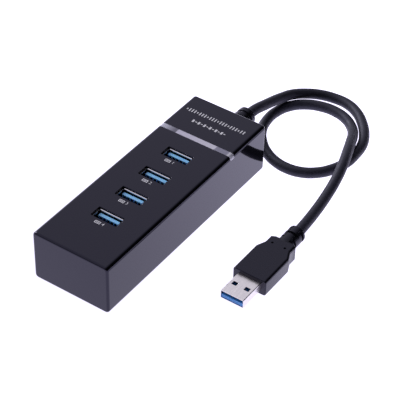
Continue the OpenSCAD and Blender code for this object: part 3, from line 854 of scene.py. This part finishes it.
grip_end = GRIP_L + TAPER_L + BLOCK_L
grip = block("plug_grip_moulding", plug_point(-GRIP_W / 2, 0, -GRIP_T / 2),
             plug_point(GRIP_W / 2, GRIP_L, GRIP_T / 2))
pick(grip, "FACE", lambda at, normal: normal.y > 0.9)
pull((0, TAPER_L * MM, 0), (BLOCK_W / GRIP_W, 1, 1), plug_point(0, GRIP_L + TAPER_L, 0))
pull((0, (BLOCK_L - SHOULDER_L) * MM, 0))
pull((0, SHOULDER_L * MM, 0), SHOULDER, plug_point(0, grip_end, 0))
bpy.ops.object.mode_set(mode="OBJECT")
round_edges(grip, lambda at, way: abs(way.y) > 0.5 and abs(at.z - PLUG_Z) > 3 * MM, GRIP_R, 8)
round_edges(grip, lambda at, way: at.y < PLUG_Y + NEAR, NOSE_R, 3)
print("grip, mm:", round(GRIP_W, 1), "x", round(GRIP_T, 1), "x", round(grip_end, 1))

# %% [markdown]
# The tail has slots in pairs, left and right, then above and below, which let it bend both ways.
# Each slot's cutter is a disc less the core and less the web that joins one ring to the next.

# %% Slotted tail
TAIL_L, TAIL_R = 11.7, GRIP_T / 2
TAIL_CORE, TAIL_WEB, TAIL_TIP = 3.2, 4.4, 0.8
SLOT_START, SLOT_W, SLOT_PITCH = 2, 1.4, 3.2
tail_end = grip_end + TAIL_L
tail = turned("tail", (PLUG_X, PLUG_Y, PLUG_Z), [(d * MM, r * MM) for d, r in [
    (grip_end - 2, TAIL_R), (tail_end - TAIL_TIP, TAIL_R), (tail_end, TAIL_R - TAIL_TIP)]])
for k in range(3):
    start = grip_end + SLOT_START + k * SLOT_PITCH
    before, after = start - 1, start + 3
    slot = rod("slot", plug_point(0, start, 0), plug_point(0, start + SLOT_W, 0), (TAIL_R + 1) * MM)
    core = rod("core", plug_point(0, before, 0), plug_point(0, after, 0), TAIL_CORE * MM)
    wide, tall = (TAIL_WEB / 2, 9) if k % 2 == 0 else (9, TAIL_WEB / 2)
    web = block("web", plug_point(-wide, before, -tall), plug_point(wide, after, tall))
    combine(slot, core, web)
    combine(tail, slot)
soften(tail, 0.25 * MM, 3)
combine(grip, tail, operation="UNION")
print("tail, mm:", TAIL_L, "long,", round(2 * TAIL_R, 1), "across")

# %% [markdown]
# The pocket for the steel shell is cut into the grip's front, and two small dimples, left by the
# mould's pins, into the block behind.

# %% Pocket and dimples
PLUG_W, PLUG_H = 12, 4.5
SHELL_IN = 7
POCKET_FIT = 0.05
DIMPLE_X, DIMPLE_Y, DIMPLE_R, DIMPLE_DEEP = 3.3, 23.4, 0.6, 0.5
half_w, half_h = PLUG_W / 2 + POCKET_FIT, PLUG_H / 2 + POCKET_FIT
combine(grip, block("shell_pocket", plug_point(-half_w, -1, -half_h),
                    plug_point(half_w, SHELL_IN + POCKET_FIT, half_h)))
for x in (-DIMPLE_X, DIMPLE_X):
    combine(grip, rod("dimple", plug_point(x, DIMPLE_Y, GRIP_T / 2 - DIMPLE_DEEP),
                      plug_point(x, DIMPLE_Y, GRIP_T / 2 + 1), DIMPLE_R * MM, 24))
dress(grip, grip_pvc, "grip_pvc", "plug_grip")

# %% [markdown]
# ### Plug shell
# The plug's shell is folded from one strip: a flat tube with softly rounded folds and two square
# windows on each broad side. It is made like the socket's tube, lying down.

# %% Plug shell
PLUG_OUT, SHEET = 13.5, 0.3
FOLD_R = 0.5 * MM
WINDOW_X, WINDOW_W = 3.2, 2.5
WINDOW_FRONT, WINDOW_BACK = -7.6, -5.4
plug_tube = block("plug_steel_shell", plug_point(-PLUG_W / 2, -PLUG_OUT, -PLUG_H / 2),
                  plug_point(PLUG_W / 2, SHELL_IN, PLUG_H / 2))
round_edges(plug_tube, lambda at, way: along(way, 1), FOLD_R, 5)
pick(plug_tube, "FACE", lambda at, normal: abs(normal.y) > 0.9)
bpy.ops.mesh.delete(type="ONLY_FACE")
bpy.ops.object.mode_set(mode="OBJECT")
modify(plug_tube, "SOLIDIFY", thickness=SHEET * MM, offset=-1, use_even_offset=True)
for x in (-WINDOW_X, WINDOW_X):
    combine(plug_tube, block("window", plug_point(x - WINDOW_W / 2, WINDOW_FRONT, -5),
                             plug_point(x + WINDOW_W / 2, WINDOW_BACK, 5)))
soften(plug_tube, 0.06 * MM, 2)
dress(plug_tube, plug_steel, "plug_steel", "plug_shell")

# %% [markdown]
# ### Plug insert
# The blue insert fills the lower half of the plug's mouth, with grooves for its contacts. Its front
# edges are rounded a little, and a taller rear part holds it in the shell.

# %% Plug insert
INSERT_LOW = -PLUG_H / 2 + SHEET + 0.02
INSERT_T, INSERT_SIDE = 1.95, 5.65
INSERT_FRONT = -PLUG_OUT + 0.3
INSERT_R = 0.18 * MM
REAR_SIDE, REAR_FRONT, REAR_BACK, REAR_T = 5.6, 2.4, 6.4, 3.8
PLUG_GROOVE = 0.6
plug_tongue = block("plug_blue_insert", plug_point(-INSERT_SIDE, INSERT_FRONT, INSERT_LOW),
                    plug_point(INSERT_SIDE, SHELL_IN - 0.5, INSERT_LOW + INSERT_T))
front_y = plug_point(0, INSERT_FRONT, 0).y
round_edges(plug_tongue, lambda at, way: at.y < front_y + NEAR, INSERT_R, 3)
combine(plug_tongue, block("rear", plug_point(-REAR_SIDE, REAR_FRONT, INSERT_LOW),
                           plug_point(REAR_SIDE, REAR_BACK, INSERT_LOW + REAR_T)),
        operation="UNION")
groove_top = INSERT_LOW + INSERT_T
for xs, start, end, deep, over in ((LONG_XS, INSERT_FRONT + 1, INSERT_FRONT + 8.4, 0.2, 1),
                                   (SHORT_XS, -4, -0.8, 0.5, 0.5)):
    for x in xs:
        combine(plug_tongue, block(
            "groove", plug_point(x - PLUG_GROOVE, start, groove_top - deep),
            plug_point(x + PLUG_GROOVE, end, groove_top + over)))
dress(plug_tongue, blue_resin, "blue_insert", "plug_insert")

# %% [markdown]
# ## Printed marks
# Pad printing leaves ink a few hundredths of a millimetre thick. The marks are generic: a small
# socket sign and a number beside each socket, and two rows of plain ticks near the lead's end.

# %% Ink
INK_T = 0.02 * MM
top_z = high.z


def stripe(x, y, width, depth):
    """A small printed bar on the top, by its middle and size in mm."""
    half = Vector((width, depth, 0)) * MM / 2
    middle = Vector((x * MM, y * MM, 0))
    return block("stripe", middle - half + Vector((0, 0, top_z - INK_T)),
                 middle + half + Vector((0, 0, top_z + INK_T)))


def digit(text, x, y, height):
    """A printed number on the top."""
    bpy.ops.object.select_all(action="DESELECT")
    bpy.ops.object.text_add(location=(x * MM, y * MM, top_z))
    letters = bpy.context.object
    letters.data.body = text
    letters.data.size = height * MM / 0.7
    letters.data.align_x = "CENTER"
    letters.data.align_y = "CENTER"
    letters.data.extrude = INK_T
    letters.data.resolution_u = 4
    bpy.ops.object.convert(target="MESH")
    return settle(bpy.context.object, "digit")


def join(name, parts):
    """Joins printed parts into one piece."""
    solo(parts[0])
    for part in parts:
        part.select_set(True)
    bpy.ops.object.join()
    piece = bpy.context.object
    piece.name = piece.data.name = name
    return piece


# %% [markdown]
# The sign beside a socket is the outline of its mouth with the tongue in it. A number follows it.

# %% Marks beside the sockets
LINE = 0.35
SIGN_X, SIGN_W, SIGN_H = -1.4, 3, 1.65
DIGIT_X, DIGIT_H = 1.5, 1.7
BELOW_SOCKET = 5.6
for i, y in enumerate(PORT_YS):
    middle = y / MM - BELOW_SOCKET
    sign = [stripe(SIGN_X, middle + s * (SIGN_H - LINE) / 2, SIGN_W, LINE) for s in (-1, 1)]
    sign += [stripe(SIGN_X + s * 1.33, middle, LINE, 1) for s in (-1, 1)]
    sign += [stripe(SIGN_X, middle, 1.6, LINE)]
    sign += [digit(str(i + 1), DIGIT_X, middle, DIGIT_H)]
    dress(join(f"socket_{i + 1}_print", sign), ink, "diffuser")

# %% [markdown]
# The two rows near the lead's end are plain ticks of changing height, a long row and a short one.

# %% Rows of ticks
LONG_ROW_Y, LONG_ROW_X, LONG_PITCH = 50, -16.5, 1.45
SHORT_ROW_Y, SHORT_ROW_X, SHORT_PITCH = 43.8, -8.9, 1.6
ticks = [stripe(LONG_ROW_X + LONG_PITCH * k, LONG_ROW_Y, 0.55, 2.3 if k % 4 else 1.2)
         for k in range(23)]
ticks += [stripe(SHORT_ROW_X + SHORT_PITCH * k, SHORT_ROW_Y, 1.0, 0.5 if k % 2 else 1.9)
          for k in range(12)]
dress(join("row_print", ticks), ink, "diffuser")

# %% [markdown]
# ## Pieces that keep their CAD shape
# The board, its components, the contacts and the base plate are right as they are, so they stay and
# only get their finish.

# %% Finishes of the CAD pieces
KEPT = {
    "bottom_cover": grained_abs, "light_guide": milky, "circuit_board": solder_mask,
    "hub_controller": epoxy, "controller_leads": tin, "crystal": drawn_can,
    "status_leds": lamp_epoxy, "voltage_regulator": epoxy, "bulk_capacitors": drawn_can,
    "chip_resistors": epoxy, "chip_capacitors": ceramic, "board_screws": zinc,
    "cable_leads": wire_plastic, "plug_contacts": gold,
    **{f"port_{i}_contacts": gold for i in (1, 2, 3, 4)},
}
for name, material in KEPT.items():
    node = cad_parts[name]
    node.data.materials.clear()
    node.data.materials.append(material)
print("CAD pieces kept:", len(KEPT))

# %% [markdown]
# ## The lead gets its finish
# Last, the lead gets its finish, rides on the root body, and the CAD cable it stands for is hidden.

line.materials.append(jacket_pvc)
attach(lead, "root")
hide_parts("cable_jacket")
